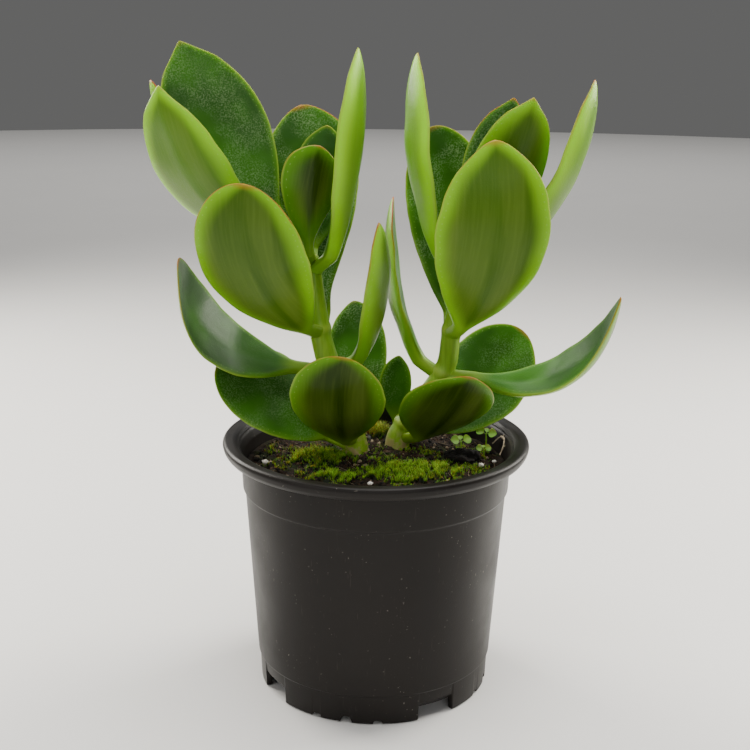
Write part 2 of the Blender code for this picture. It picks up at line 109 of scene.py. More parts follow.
def evenly(count):
    # Angles spread evenly round a whole turn
    return np.linspace(0.0, 2.0 * np.pi, count, endpoint=False)


def unit(vectors):
    return vectors / np.maximum(np.linalg.norm(vectors, axis=-1, keepdims=True), 1e-9)


def smoothStep(values, low, high):
    part = np.clip((values - low) / (high - low), 0.0, 1.0)
    return part * part * (3.0 - 2.0 * part)


def ripples(points, size, seed, octaves=3, waves=10):
    # Smooth noise, mostly -1 to 1: sines in random directions, each octave half the last one's size
    rng = np.random.default_rng(seed)
    total = 0.0
    for octave in range(octaves):
        directions = unit(rng.normal(size=(waves, points.shape[1])))
        phases = rng.uniform(0.0, 2.0 * np.pi, waves)
        turns = points @ directions.T * (2.0 * np.pi * 2.0**octave / size) + phases
        total = total + 0.5**octave * np.sin(turns).sum(axis=1) / sqrt(waves)
    return total


def curveThrough(places, rows):
    # Catmull-Rom curve through places, with any extra columns such as the radius carried along
    data = np.array(places, float)
    data = np.vstack([2 * data[0] - data[1], data, 2 * data[-1] - data[-2]])
    where = np.linspace(0.0, len(places) - 1.0, rows)
    k = np.minimum(where.astype(int), len(places) - 2)
    t = (where - k)[:, None]
    a, b, c, d = (data[k + step] for step in range(4))
    square = (2 * a - 5 * b + 4 * c - d) * t**2
    cube = (3 * b - a - 3 * c + d) * t**3
    return 0.5 * (2 * b + (c - a) * t + square + cube), where


def ringsAlong(centres, radii, columns, swell=None):
    # centre(t) + radius(t) * swell(t, angle) * (cos angle * across + sin angle * other)
    along = unit(np.gradient(centres, axis=0))
    reference = np.where(np.abs(along[:, 1:2]) > 0.9, [[1.0, 0.0, 0.0]], [[0.0, 1.0, 0.0]])
    across = unit(np.cross(reference, along))
    other = np.cross(along, across)
    angle = evenly(columns)
    reach = radii[:, None] * (1.0 if swell is None else swell(angle))
    cosine, sine = np.cos(angle)[None, :, None], np.sin(angle)[None, :, None]
    turned = cosine * across[:, None] + sine * other[:, None]
    return centres[:, None] + reach[..., None] * turned


def scattered(points, faces, places, turns, sizes):
    # Copies of a small shape: scaled by sizes (n, 3), turned by turns (n, 3, 3), moved to places
    copies = np.einsum("nij,nkj->nki", turns, points[None] * sizes[:, None]) + places[:, None]
    shift = (np.arange(len(places)) * len(points))[:, None, None]
    return copies.reshape(-1, 3), [(f[None] + shift).reshape(-1, f.shape[1]) for f in faces]


def randomTurns(rng, count):
    a = unit(rng.normal(size=(count, 3)))
    b = unit(np.cross(a, rng.normal(size=(count, 3))))
    return stacked(a, b, np.cross(a, b))


def pieceName(nodeName):
    # left_mid_front_leaf becomes leftMidFrontLeaf
    words = nodeName.split("_")
    return words[0] + "".join(word.title() for word in words[1:])


def joined(parts):
    # Several (points, faces) shapes as one
    points, faces, count = [], [], 0
    for shape, shapeFaces in parts:
        points.append(shape)
        faces.extend(f + count for f in shapeFaces)
        count += len(shape)
    return np.vstack(points), faces


# ---- material helpers


class Finish:
    # A material, and short names for the nodes that its colour, roughness and bump are made with

    def __init__(self, name, **values):
        self.material = bpy.data.materials.new(name)
        self.material.use_nodes = True
        self.tree = self.material.node_tree
        self.shader = self.tree.nodes["Principled BSDF"]
        for socket, value in values.items():
            self.shader.inputs[socket.replace("_", " ")].default_value = value

    def node(self, kind, inputs=None, **settings):
        made = self.tree.nodes.new(kind)
        for key, value in settings.items():
            setattr(made, key, value)
        for key, value in (inputs or {}).items():
            if isinstance(value, bpy.types.NodeSocket):
                self.tree.links.new(value, made.inputs[key])
            else:
                made.inputs[key].default_value = value
        return made

    def calc(self, operation, a, b=0.0, c=0.0):
        return self.node("ShaderNodeMath", {0: a, 1: b, 2: c}, operation=operation).outputs[0]

    def times(self, a, b):
        return self.calc("MULTIPLY", a, b)

    def plus(self, a, b):
        return self.calc("ADD", a, b)

    def span(self, value, low, high, toLow=0.0, toHigh=1.0):
        # value from low..high to toLow..toHigh with soft ends
        inputs = {"Value": value, "From Min": low, "From Max": high, "To Min": toLow,
                  "To Max": toHigh}
        made = self.node("ShaderNodeMapRange", inputs, interpolation_type="SMOOTHSTEP")
        return made.outputs["Result"]

    def blend(self, factor, a, b, how="MIX"):
        a, b = (c if isinstance(c, bpy.types.NodeSocket) else (*c, 1.0) for c in (a, b))
        inputs = {0: factor, 6: a, 7: b}
        return self.node("ShaderNodeMix", inputs, data_type="RGBA", blend_type=how).outputs[2]

    def noise(self, where, scale, detail=3.0, roughness=0.55):
        inputs = {"Vector": where, "Scale": scale, "Detail": detail, "Roughness": roughness}
        return self.node("ShaderNodeTexNoise", inputs).outputs["Fac"]

    def place(self):
        return self.node("ShaderNodeTexCoord").outputs["Object"]

    def stretched(self, where, scale):
        return self.node("ShaderNodeMapping", {"Vector": where, "Scale": scale}).outputs["Vector"]

    def field(self, name, output="Fac"):
        return self.node("ShaderNodeAttribute", attribute_name=name).outputs[output]

    def parts(self, vector):
        return self.node("ShaderNodeSeparateXYZ", {0: vector}).outputs

    def connect(self, value, socket="Base Color"):
        self.tree.links.new(value, self.shader.inputs[socket])

    def bump(self, height, strength, distance):
        inputs = {"Height": height, "Strength": strength, "Distance": distance}
        self.connect(self.node("ShaderNodeBump", inputs).outputs["Normal"], "Normal")


# ---- camera, lights and floor

view = dict(distance=485.4, height=259.6, tilt=15.52, turn=-0.075, roll=0.606, lens=62.4)


def makeCamera():
    tilt, turn, roll = (radians(view[key]) for key in ("tilt", "turn", "roll"))
    flat = cos(tilt)
    forward = Vector((sin(turn) * flat, cos(turn) * flat, -sin(tilt)))
    level = forward.cross(Vector((0, 0, 1))).normalized()
    upright = level.cross(forward)
    right = cos(roll) * level + sin(roll) * upright
    up = -sin(roll) * level + cos(roll) * upright
    data = bpy.data.cameras.new("camera")
    data.sensor_width = 36.0
    data.lens = view["lens"]
    camera = bpy.data.objects.new("camera", data)
    bpy.context.scene.collection.objects.link(camera)
    turned = Matrix((right, up, -forward)).transposed().to_4x4()
    place = (0.0, -view["distance"] * mm, view["height"] * mm)
    camera.matrix_world = Matrix.Translation(place) @ turned
    bpy.context.scene.camera = camera


# Each light: where it stands, its width and height, its power and tint. Most look at the leaves.
lamps = dict(
    farFloor=dict(place=(0, 2000, 1500), aim=(0, 2000, 0), size=(3200, 1400), power=30.0,
                  tint=(1.0, 0.99, 0.97)),
    backLeft=dict(place=(-520, 430, 480), size=(420, 520), power=9.0, tint=(1.0, 0.96, 0.88)),
    backRight=dict(place=(560, 330, 460), size=(380, 520), power=9.0, tint=(1.0, 0.96, 0.88)),
    overhead=dict(place=(60, -60, 820), size=(620, 480), power=6.5, tint=(1.0, 0.99, 0.97)),
    frontLeft=dict(place=(-620, -560, 420), size=(420, 420), power=1.7, tint=(1.0, 0.98, 0.95)),
    frontLow=dict(place=(120, -760, 330), size=(900, 90), power=1.5, tint=(1.0, 1.0, 1.0)),
)
floorLook = dict(radius=2600, color=(0.74, 0.73, 0.71), world=(0.80, 0.80, 0.79), glow=0.16)


def makeLights():
    for name, lamp in lamps.items():
        data = bpy.data.lights.new(name, "AREA")
        data.shape = "RECTANGLE"
        data.size, data.size_y = (side * mm for side in lamp["size"])
        data.energy = lamp["power"]
        data.color = lamp["tint"]
        made = bpy.data.objects.new(name, data)
        bpy.context.scene.collection.objects.link(made)
        made.location = Vector(lamp["place"]) * mm
        aim = Vector(lamp.get("aim", (0, 0, 140)))
        made.rotation_euler = (aim - Vector(lamp["place"])).to_track_quat("-Z", "Y").to_euler()
    world = bpy.data.worlds.new("studio")
    world.use_nodes = True
    back = world.node_tree.nodes["Background"]
    back.inputs["Color"].default_value = (*floorLook["world"], 1.0)
    back.inputs["Strength"].default_value = floorLook["glow"]
    bpy.context.scene.world = world


def makeFloor():
    f = Finish("paleFloor", Roughness=0.6)
    patches = f.noise(f.place(), 9.0)
    paler = tuple(channel * 1.05 for channel in floorLook["color"])
    color = f.blend(patches, floorLook["color"], paler)
    f.connect(color)
    angle = evenly(96)
    rim = floorLook["radius"] * stacked(np.cos(angle), np.sin(angle), 0 * angle)
    rings = np.stack([rim - [0, 0, 20.3], rim - [0, 0, 0.3]])
    points, faces = closedTube(rings)
    floor = putMesh("floor", points, faces, f.material, smooth=False)


makeCamera()
makeLights()
makeFloor()
print("camera, lights and floor done")

# ---- pot

pot = dict(
    rim=60.0, height=100.0, wall=1.0, foot=45.8, footTop=12.0, low=46.9, high=51.4, collar=53.0,
    collarBottom=80.0, under=5.0, thick=1.2, columns=900, corner=0.45,
    notchAt=-58.0, notchWidth=16.0, notchHeight=6.8, drain=2.2, drainStretch=1.15,
    slitWidth=3.6, slitHeight=1.2, slitTurn=15.3, cutSlope=0.35, outOfRound=0.12,
)


def potProfile():
    # (radius, height) from the axis under the pot, up the outside, over the rim and down the inside
    p = pot
    rim, top, wall, collar, high, low, foot = (
        p[key] for key in ("rim", "height", "wall", "collar", "high", "low", "foot"))
    lip, step, floor = top - 5.0, p["collarBottom"], p["under"] + p["thick"]
    return np.array([
        (0.0, p["under"]), (foot - 2.3, p["under"]), (foot - 2.2, 0.0), (foot, 0.0),
        (low - 0.6, p["footTop"] - 0.4), (low, p["footTop"]), (high, step),
        (collar - 0.7, step + 0.8), (collar, lip - 1.0), (collar + 0.6, lip + 3.2),
        (rim - 2.0, lip + 3.4), (rim - 2.9, lip),
        (rim - 1.6, lip), (rim - 0.5, lip + 1.6), (rim, lip + 3.4), (rim - 0.3, top - 0.6),
        (rim - 1.2, top), (rim - 4.0, top - 0.1), (rim - 5.4, top - 0.8), (rim - 7.0, lip + 1.6),
        (collar - wall, lip - 1.5), (collar - 0.7 - wall, step + 1.2), (high - wall, step - 0.2),
        (low - wall, p["footTop"] + 0.6), (foot - wall, floor + 1.0), (foot - wall - 1.0, floor),
        (0.0, floor),
    ])


def rounded(profile, radius):
    # Each corner becomes a short parabola that starts and ends radius away, or less on a short edge
    before, corner, after = profile[:-2], profile[1:-1], profile[2:]
    reachIn = np.minimum(radius, np.linalg.norm(corner - before, axis=1) * 0.45)[:, None]
    reachOut = np.minimum(radius, np.linalg.norm(after - corner, axis=1) * 0.45)[:, None]
    start = corner + unit(before - corner) * reachIn
    end = corner + unit(after - corner) * reachOut
    t = np.linspace(0.0, 1.0, 4)[None, :, None]
    curve = (1 - t) ** 2 * start[:, None] + 2 * t * (1 - t) * corner[:, None] + t**2 * end[:, None]
    return curve.reshape(-1, 2)


def footEdge(heading):
    # Height of the foot's lower edge: a notch, a half-round drain and two slits in each quarter
    p = pot
    edge = np.zeros_like(heading)
    for quarter in range(4):
        notchAt = p["notchAt"] + 90.0 * quarter
        drainAt = notchAt + 45.0
        for at, kind in ((notchAt, "notch"), (drainAt, "drain"),
                         (drainAt - p["slitTurn"], "slit"), (drainAt + p["slitTurn"], "slit")):
            away = (heading - at + 180.0) % 360.0 - 180.0
            side = np.abs(np.radians(away)) * p["foot"]
            if kind == "drain":
                cut = np.sqrt(np.clip(p["drain"] ** 2 - side**2, 0.0, None)) * p["drainStretch"]
            else:
                inward = (p[kind + "Width"] / 2 - side) / p["cutSlope"]
                cut = p[kind + "Height"] * np.clip(inward, 0.0, 1.0)
            edge = np.maximum(edge, cut)
    return edge


def makePotFinish():
    f = Finish("potPlastic", Roughness=0.42, Specular_IOR_Level=0.17)
    where = f.place()
    cloudy = f.noise(where, 34.0, 4.0)
    scuffs = f.noise(f.stretched(where, (900.0, 900.0, 60.0)), 1.0, 2.0, 0.7)
    scratches = f.span(scuffs, 0.66, 0.74)
    dust = f.span(f.noise(where, 900.0, 1.0, 0.5), 0.70, 0.78)
    dusty = f.times(dust, f.span(f.noise(where, 60.0), 0.45, 0.75))
    color = f.blend(cloudy, (0.006, 0.005, 0.0045), (0.014, 0.011, 0.009))
    color = f.blend(f.times(scratches, 0.35), color, (0.045, 0.038, 0.032))
    color = f.blend(f.times(dusty, 0.7), color, (0.30, 0.27, 0.23))
    f.connect(color)
    rough = f.plus(f.span(cloudy, 0.3, 0.7, 0.33, 0.47), f.times(scratches, 0.12))
    f.connect(f.plus(rough, f.times(dusty, 0.3)), "Roughness")
    grain = f.plus(f.noise(where, 1600.0, 2.0), f.times(scratches, -0.5))
    f.bump(grain, 0.12, 0.0002)
    return f.material


def makePot():
    profile = rounded(potProfile(), pot["corner"])
    angle = evenly(pot["columns"])
    heading = np.degrees(angle)  # from -Y towards +X
    edge = footEdge(heading)
    radius, height = profile[:, :1], profile[:, 1:]
    atFoot = (height < 0.6) & (radius > pot["foot"] - 3.0)
    cap = np.where(radius < pot["foot"] - 1.1, pot["under"] - 0.2, pot["notchHeight"])
    z = height + np.where(atFoot, np.minimum(edge[None, :], cap), 0.0)
    warp = pot["outOfRound"] * np.sin(2 * angle + 0.6)[None, :] * smoothStep(height, 20.0, 95.0)
    radius = radius + warp
    rings = stacked(radius * np.sin(angle), -radius * np.cos(angle), z)
    floor = pot["under"] + pot["thick"]
    points, faces = closedTube(rings, (0.0, 0.0, pot["under"]), (0.0, 0.0, floor))
    piece = putMesh("nurseryPot", points, faces, makePotFinish())
    piece.data.set_sharp_from_angle(angle=radians(50.0))
    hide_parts("pot")


makePot()
print("pot done")

# ---- soil

soil = dict(edge=89.0, crown=2.6, columns=300, topRows=110, coarse=0.55, fine=0.22)
litter = dict(
    crumbs=2600, crumbSize=0.22, crumbGrowth=0.75, fibres=620, fibreLength=(2.0, 7.5),
    fibreRadius=(0.05, 0.12), lumpAt=(34.0, -1.5), lumpLift=2.6, lumpSize=(7.0, 4.6, 4.0),
)


def soilHeight(x, y):
    # A low crown with gentle lumps that die away towards the wall
    radius = np.hypot(x, y)
    crown = soil["crown"] * np.clip(1.0 - (radius / 52.0) ** 2, 0.0, 1.0)
    lumps = 0.35 * np.sin(0.21 * x + 1.3) * np.cos(0.19 * y - 0.4)
    return soil["edge"] + crown + lumps * np.clip((50.0 - radius) / 10.0, 0.0, 1.0)


def soilTop(x, y):
    # The same surface with loose peat on it: lumps of a few millimetres and finer grains
    flat = stacked(x, y)
    coarse = soil["coarse"] * ripples(flat, 9.0, 11, 3)
    fine = soil["fine"] * np.abs(ripples(flat, 2.3, 12, 2))
    atWall = np.clip((51.5 - np.hypot(x, y)) / 3.0, 0.0, 1.0)
    return soilHeight(x, y) + (coarse + fine - 0.35) * atWall


def makeSoilFinish():
    f = Finish("peat", Roughness=0.93, Specular_IOR_Level=0.2)
    where = f.place()
    clods = f.noise(where, 260.0, 4.0, 0.7)
    grains = f.noise(where, 1300.0, 2.0, 0.7)
    color = f.blend(f.span(clods, 0.35, 0.65), (0.004, 0.003, 0.002), (0.026, 0.014, 0.008))
    color = f.blend(f.span(grains, 0.58, 0.7, 0.0, 0.7), color, (0.085, 0.045, 0.022))
    film = f.span(f.noise(where, 95.0, 3.0, 0.6), 0.52, 0.66, 0.0, 0.55)
    color = f.blend(film, color, (0.020, 0.040, 0.006))
    f.connect(color)
    f.bump(f.plus(clods, f.times(grains, 0.5)), 0.8, 0.0008)
    return f.material


def makeLitterFinish():
    # Crumbs, fibres and the lump carry a shade: 0 near-black peat, 0.5 red-brown, 1 pale
    f = Finish("peatLitter", Roughness=0.9, Specular_IOR_Level=0.25)
    shade = f.field("shade")
    color = f.blend(f.span(shade, 0.1, 0.55), (0.005, 0.004, 0.003), (0.062, 0.029, 0.013))
    color = f.blend(f.span(shade, 0.6, 1.0), color, (0.42, 0.33, 0.22))
    mottled = f.noise(f.place(), 1500.0)
    color = f.blend(0.5, color, f.blend(mottled, (0.2, 0.2, 0.2), (1, 1, 1)), "MULTIPLY")
    f.connect(color)
    f.bump(mottled, 0.5, 0.0003)
    return f.material


def smallBall(rows=4, columns=6):
    # radius 1, latitude by longitude
    lat = np.linspace(-0.5, 0.5, rows + 2)[1:-1] * np.pi
    lon = evenly(columns)
    lat = lat[:, None]
    rings = stacked(np.cos(lat) * np.cos(lon), np.cos(lat) * np.sin(lon), np.sin(lat) + 0 * lon)
    return closedTube(rings, (0.0, 0.0, -1.0), (0.0, 0.0, 1.0))


def spreadOver(rng, count, reach=50.0):
    # Random places on the soil inside reach, on its surface
    radius = reach * np.sqrt(rng.uniform(0.0, 1.0, count))
    angle = rng.uniform(0.0, 2.0 * np.pi, count)
    x, y = radius * np.cos(angle), radius * np.sin(angle)
    return stacked(x, y, soilTop(x, y))


def makeSoil():
    inside = pot["wall"] + 0.45
    floor, step = pot["under"] + pot["thick"], pot["collarBottom"]
    sides = np.array([
        (pot["foot"] - 3.0 - inside, floor + 0.4), (pot["foot"] - 1.0 - inside, floor + 2.2),
        (pot["low"] - inside, 14.0), (pot["high"] - inside, step - 1.0),
        (pot["collar"] - 0.8 - inside, step + 2.0), (pot["collar"] - 0.4 - inside, soil["edge"]),
    ])
    angle = evenly(soil["columns"])
    topRadius = np.linspace(sides[-1, 0] - 0.4, 0.35, soil["topRows"])
    radius = np.concatenate([sides[:, 0], topRadius])[:, None]
    x, y = radius * np.cos(angle), radius * np.sin(angle)
    z = np.repeat(np.concatenate([sides[:, 1], topRadius * 0.0])[:, None], soil["columns"], axis=1)
    top = slice(len(sides) - 1, None)
    z[top] = soilTop(x[top].ravel(), y[top].ravel()).reshape(x[top].shape)
    points, faces = closedTube(stacked(x, y, z), (0.0, 0.0, floor + 0.4))
    piece = putMesh("peatSoil", points, faces, makeSoilFinish())
    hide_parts("soil")


def makeLitter():
    rng = np.random.default_rng(5)
    finish = makeLitterFinish()
    ball, ballFaces = smallBall()
    count = litter["crumbs"]
    size = litter["crumbSize"] + litter["crumbGrowth"] * rng.uniform(0.0, 1.0, count) ** 3
    sizes = size[:, None] * rng.uniform(0.6, 1.35, (count, 3))
    places = spreadOver(rng, count, 49.8)
    points, faces = scattered(ball, ballFaces, places, randomTurns(rng, count), sizes)
    points += 0.12 * np.stack([ripples(points, 1.1, seed, 1) for seed in (21, 22, 23)], axis=1)
    shade = np.repeat(rng.uniform(0.0, 1.0, count) ** 2.2, len(ball))
    crumbs = putMesh("peatCrumbs", points, faces, finish, shade=shade)

    # One porous lump of dark peat near the front right
    lump, lumpFaces = smallBall(70, 90)
    lump = lump * (1.0 + 0.15 * ripples(lump, 0.9, 31, 5)[:, None]) * litter["lumpSize"]
    lump = lump + [*litter["lumpAt"], soil["edge"] + litter["lumpLift"]]
    shade = 0.05 + 0.1 * np.abs(ripples(lump, 2.4, 32))
    lumps = putMesh("peatLump", lump, lumpFaces, finish, shade=shade)

    # Fibres: short bent threads, mostly red-brown, a few pale
    strands, shades = [], []
    places = spreadOver(rng, litter["fibres"], 48.5)
    for place, tint in zip(places, rng.uniform(0.35, 1.0, len(places)) ** 1.6):
        heading = rng.uniform(0.0, 2.0 * np.pi)
        length = rng.uniform(*litter["fibreLength"])
        t = np.linspace(-0.5, 0.5, 6)
        bend = rng.uniform(-1.2, 1.2) * (t**2 - 0.1) * length * 0.6
        x = place[0] + length * t * cos(heading) - bend * sin(heading)
        y = place[1] + length * t * sin(heading) + bend * cos(heading)
        z = place[2] + 0.25 + rng.uniform(-0.08, 0.35) * length * t
        inside = min(1.0, 49.5 / max(np.hypot(x, y).max(), 1.0))
        centres = stacked(x * inside, y * inside, z)
        radii = rng.uniform(*litter["fibreRadius"]) * (1.15 - np.abs(t))
        strands.append(closedTube(ringsAlong(centres, radii, 5)))
        shades.append(np.full(len(strands[-1][0]), tint))
    points, faces = joined(strands)
    fibres = putMesh("peatFibres", points, faces, finish, shade=np.concatenate(shades))


def makePerlite():
    f = Finish("perlite", Roughness=0.85)
    pores = f.noise(f.place(), 1800.0, 3.0, 0.7)
    color = f.blend(f.span(pores, 0.35, 0.6), (0.42, 0.36, 0.28), (0.82, 0.80, 0.74))
    f.connect(color)
    f.bump(pores, 0.7, 0.0003)
    ball, ballFaces = smallBall(22, 32)
    for name in sorted(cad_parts):
        if not name.startswith("perlite"):
            continue
        low, high = (np.array(corner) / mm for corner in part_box(name))
        seed = 60 + int(name[-1])
        rough = 1.0 + 0.14 * ripples(ball, 1.1, seed, 4)[:, None]
        grain = ball * rough * (high - low) / 2.0 * 0.82  # kept inside its CAD grain's box
        piece = putMesh("grain" + name[-1], grain + (low + high) / 2.0, ballFaces, f.material)
        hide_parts(name)


makeSoil()
makeLitter()
makePerlite()
print("soil done")

# ---- moss

# Centre, half-widths, turn, height of each cushion, how many shoots it has and how bright it is
mossPatches = dict(
    moss_front_right=dict(
        centre=(14.0, -19.0), size=(20.0, 8.5), turn=14.0, height=2.6, shoots=1500, tone=0.9),
    moss_front_left=dict(
        centre=(-21.0, -4.0), size=(13.0, 8.0), turn=-6.0, height=2.6, shoots=950, tone=0.75),
    moss_front_centre=dict(
        centre=(-15.0, -24.0), size=(7.5, 5.0), turn=-10.0, height=2.2, shoots=430, tone=1.0),
    moss_between_stems=dict(
        centre=(1.0, 27.0), size=(6.0, 7.0), turn=0.0, height=3.4, shoots=380, tone=0.5),
)
mossShoot = dict(blades=6, length=3.3, width=0.2, spread=0.5)
mossSpread = dict(shoots=3800, front=-38.0, back=16.0, length=2.2)


def makeMossFinish():
    f = Finish("mossGreen", Roughness=0.7, Specular_IOR_Level=0.3,
               Subsurface_Weight=0.15, Subsurface_Scale=0.0008)
    height, tone = f.field("height"), f.field("tone")
    shadedBase = f.blend(tone, (0.006, 0.010, 0.002), (0.012, 0.030, 0.003))
    bright = f.blend(tone, (0.050, 0.12, 0.004), (0.25, 0.62, 0.012))
    # Painted shade: every blade runs from near black at its foot to its tip colour, standing in for
    # the shade inside the cushion
    color = f.blend(f.span(height, 0.25, 0.95), shadedBase, bright)
    mottled = f.noise(f.place(), 420.0)
    color = f.blend(0.45, color, f.blend(mottled, (0.35, 0.4, 0.3), (1, 1, 1)), "MULTIPLY")
    f.connect(color)
    return f.material


def bladeShape():
    # A three-sided blade, 1 long and 1 wide, thickest at a third of its length, with a pointed end
    angle = evenly(3)
    rings = [stacked(r * np.cos(angle), 0.55 * r * np.sin(angle), 0 * angle + z)
             for r, z in ((0.35, 0.0), (0.5, 0.35), (0.3, 0.72))]
    return closedTube(np.array(rings), (0.0, 0.0, -0.05), (0.0, 0.0, 1.0))


def mossTufts(rng, feet, tall, tone):
    # Every shoot is a few blades that lean out from one foot
    blade, bladeFaces = bladeShape()
    blades = mossShoot["blades"]
    count = len(feet) * blades
    heading = rng.uniform(0.0, 2.0 * np.pi, count)
    lean = rng.uniform(0.05, mossShoot["spread"], count)
    out = np.sin(lean)
    up = stacked(out * np.cos(heading), out * np.sin(heading), np.cos(lean))
    side = unit(np.cross(up, rng.normal(size=(count, 3))))
    turns = stacked(side, np.cross(up, side), up)
    length = np.repeat(tall, blades) * rng.uniform(0.65, 1.15, count)
    width = mossShoot["width"] * rng.uniform(0.8, 1.3, count)
    sizes = stacked(width, width, length)
    points, faces = scattered(blade, bladeFaces, np.repeat(feet, blades, axis=0), turns, sizes)
    height = np.tile(np.clip(blade[:, 2], 0.0, 1.0), count)
    shade = np.repeat(np.repeat(tone, blades) * rng.uniform(0.7, 1.15, count), len(blade))
    return points, faces, height, np.clip(shade, 0.0, 1.0)


def makeMossPatch(name, patch, finish, seed):
    rng = np.random.default_rng(seed)
    turn = radians(patch["turn"])
    centre, size = np.array(patch["centre"]), np.array(patch["size"])

    def mound(u, v):
        # height over the soil at (u, v), in half-widths from the middle
        away = np.hypot(u, v)
        flat = stacked(u * size[0], v * size[1])
        dome = np.clip(1.0 - away**2, 0.0, 1.0) ** 0.6
        return patch["height"] * dome * (0.72 + 0.22 * ripples(flat, 7.0, seed, 2)) - 0.5

    def placed(u, v, lift):
        x = centre[0] + u * size[0] * cos(turn) - v * size[1] * sin(turn)
        y = centre[1] + u * size[0] * sin(turn) + v * size[1] * cos(turn)
        return stacked(x, y, soilHeight(x, y) + lift)

    rows, columns = 26, 64
    reach = np.concatenate([[0.9], np.linspace(1.0, 0.04, rows)])
    angle = evenly(columns)
    u, v = (reach[:, None] * np.cos(angle)).ravel(), (reach[:, None] * np.sin(angle)).ravel()
    lift = mound(u, v) - 0.5
    lift[:columns] = -1.6
    bed, bedFaces = closedTube(placed(0.84 * u, 0.84 * v, lift).reshape(rows + 1, columns, 3))
    away = 1.12 * np.sqrt(rng.uniform(0.0, 1.0, patch["shoots"]))
    around = rng.uniform(0.0, 2.0 * np.pi, patch["shoots"])
    u, v = away * np.cos(around), away * np.sin(around)
    flat = stacked(u * size[0], v * size[1])
    ragged = ripples(flat, 8.0, seed + 50, 2)
    gaps = ripples(flat, 3.2, seed + 52, 2)
    keep = (away < 0.9 + 0.26 * ragged) & (gaps > -0.55)
    feet = placed(u[keep], v[keep], np.maximum(mound(u[keep], v[keep]), 0.0) - 0.2)
    tall = mossShoot["length"] * rng.uniform(0.45, 1.2, len(feet)) * (patch["height"] / 2.6)
    tone = patch["tone"] * (0.8 + 0.3 * ripples(feet[:, :2], 6.0, seed + 51, 2))
    points, faces, height, shade = mossTufts(rng, feet, tall, tone)
    allPoints, allFaces = joined([(bed, bedFaces), (points, faces)])
    # The bed under the shoots is a dark sheet of painted shade
    bedShade = np.full(len(bed), 0.15 * patch["tone"])
    return putMesh(name, allPoints, allFaces, finish,
                   height=np.concatenate([np.full(len(bed), 0.25), height]),
                   tone=np.concatenate([bedShade, shade]))


def makeMoss():
    finish = makeMossFinish()
    for seed, (name, patch) in enumerate(mossPatches.items(), 70):
        piece = makeMossPatch(pieceName(name), patch, finish, seed)
        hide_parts(name)
    # Thin scattered growth between the cushions, densest where a slow noise is high
    rng = np.random.default_rng(90)
    places = spreadOver(rng, mossSpread["shoots"], 46.0)
    patchy = ripples(places[:, :2], 17.0, 91, 3)
    inBand = (places[:, 1] > mossSpread["front"]) & (places[:, 1] < mossSpread["back"])
    feet = places[inBand & (patchy > 0.1)] - [0, 0, 0.1]
    tall = mossSpread["length"] * rng.uniform(0.3, 1.2, len(feet))
    points, faces, height, shade = mossTufts(rng, feet, tall, rng.uniform(0.3, 0.9, len(feet)))
    piece = putMesh("mossScattered", points, faces, finish, height=height, tone=shade)


makeMoss()
print("moss done")

# ---- stems

# Each place is (x, y, z, radius), bottom to top
stems = dict(
    left_stem=[(-8.0, 8.0, 91.0, 5.0), (-11.0, 8.0, 102.0, 4.8), (-18.5, 9.0, 125.0, 4.3),
               (-22.5, 9.0, 141.0, 4.0), (-25.5, 10.0, 165.5, 3.3), (-26.0, 10.0, 170.0, 2.6)],
    right_stem=[(8.5, 14.0, 91.0, 4.7), (12.0, 14.0, 100.5, 4.5), (26.5, 14.0, 122.5, 3.9),
                (29.5, 13.0, 140.0, 3.7), (34.5, 13.0, 165.5, 3.2), (35.5, 13.0, 172.5, 2.6)],
    side_shoot=[(-29.9, 10.8, 146.0, 2.6), (-32.0, 12.0, 160.0, 2.5), (-34.5, 12.0, 172.0, 2.4)],
)
stemShape = dict(rows=150, columns=48, depth=16.0, joint=0.13, flute=0.035, lumps=0.07)


def makeStemFinish():
    f = Finish("youngStem", Roughness=0.42, Specular_IOR_Level=0.35,
               Subsurface_Weight=0.15, Subsurface_Scale=0.002)
    where = f.place()
    jointed, height = f.field("joint"), f.field("height")
    streaks = f.noise(f.stretched(where, (900.0, 900.0, 70.0)), 1.0, 3.0, 0.6)
    color = f.blend(streaks, (0.10, 0.21, 0.008), (0.28, 0.46, 0.024))
    color = f.blend(f.span(jointed, 0.2, 1.0, 0.0, 0.6), color, (0.32, 0.42, 0.05))
    corky = f.times(f.span(height, 101.0, 92.0), f.span(f.noise(where, 330.0), 0.4, 0.6))
    color = f.blend(f.times(corky, 0.85), color, (0.34, 0.25, 0.12))
    f.connect(color)
    f.bump(f.plus(streaks, f.times(corky, 0.8)), 0.25, 0.0004)
    return f.material


def makeStems():
    finish = makeStemFinish()
    for name, places in stems.items():
        extra = 0 if name == "side_shoot" else 1
        if extra:
            x, y, z, r = places[0]
            places = [(x + 0.6, y, z - stemShape["depth"], r * 0.85)] + places
        curve, where = curveThrough(places, stemShape["rows"])
        centres, radii = curve[:, :3], curve[:, 3]
        nodeAt = where - extra
        near = np.exp(-(((nodeAt - np.round(nodeAt)) / 0.09) ** 2))
        near = near * (nodeAt > 0.4) * (nodeAt < len(places) - 1.6)
        radii = radii * (1.0 + stemShape["joint"] * near)
        radii[-6:] *= np.sqrt(1.0 - np.linspace(0.0, 0.96, 6) ** 2)
        flutes = np.sin(nodeAt * 1.7)[:, None]

        def swell(angle):
            return 1.0 + stemShape["flute"] * np.cos(4 * angle[None] + flutes)

        points, faces = closedTube(ringsAlong(centres, radii, stemShape["columns"], swell))
        lumps = stemShape["lumps"] * ripples(points, 9.0, 101 + len(places))
        points += lumps[:, None] * unit(points - points.mean(axis=0))
        joint = np.concatenate([np.repeat(near, stemShape["columns"]), [0.0, 0.0]])
        piece = putMesh(pieceName(name), points, faces, finish, joint=joint, height=points[:, 2])
        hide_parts(name)


makeStems()
print("stems done")

# ---- leaves

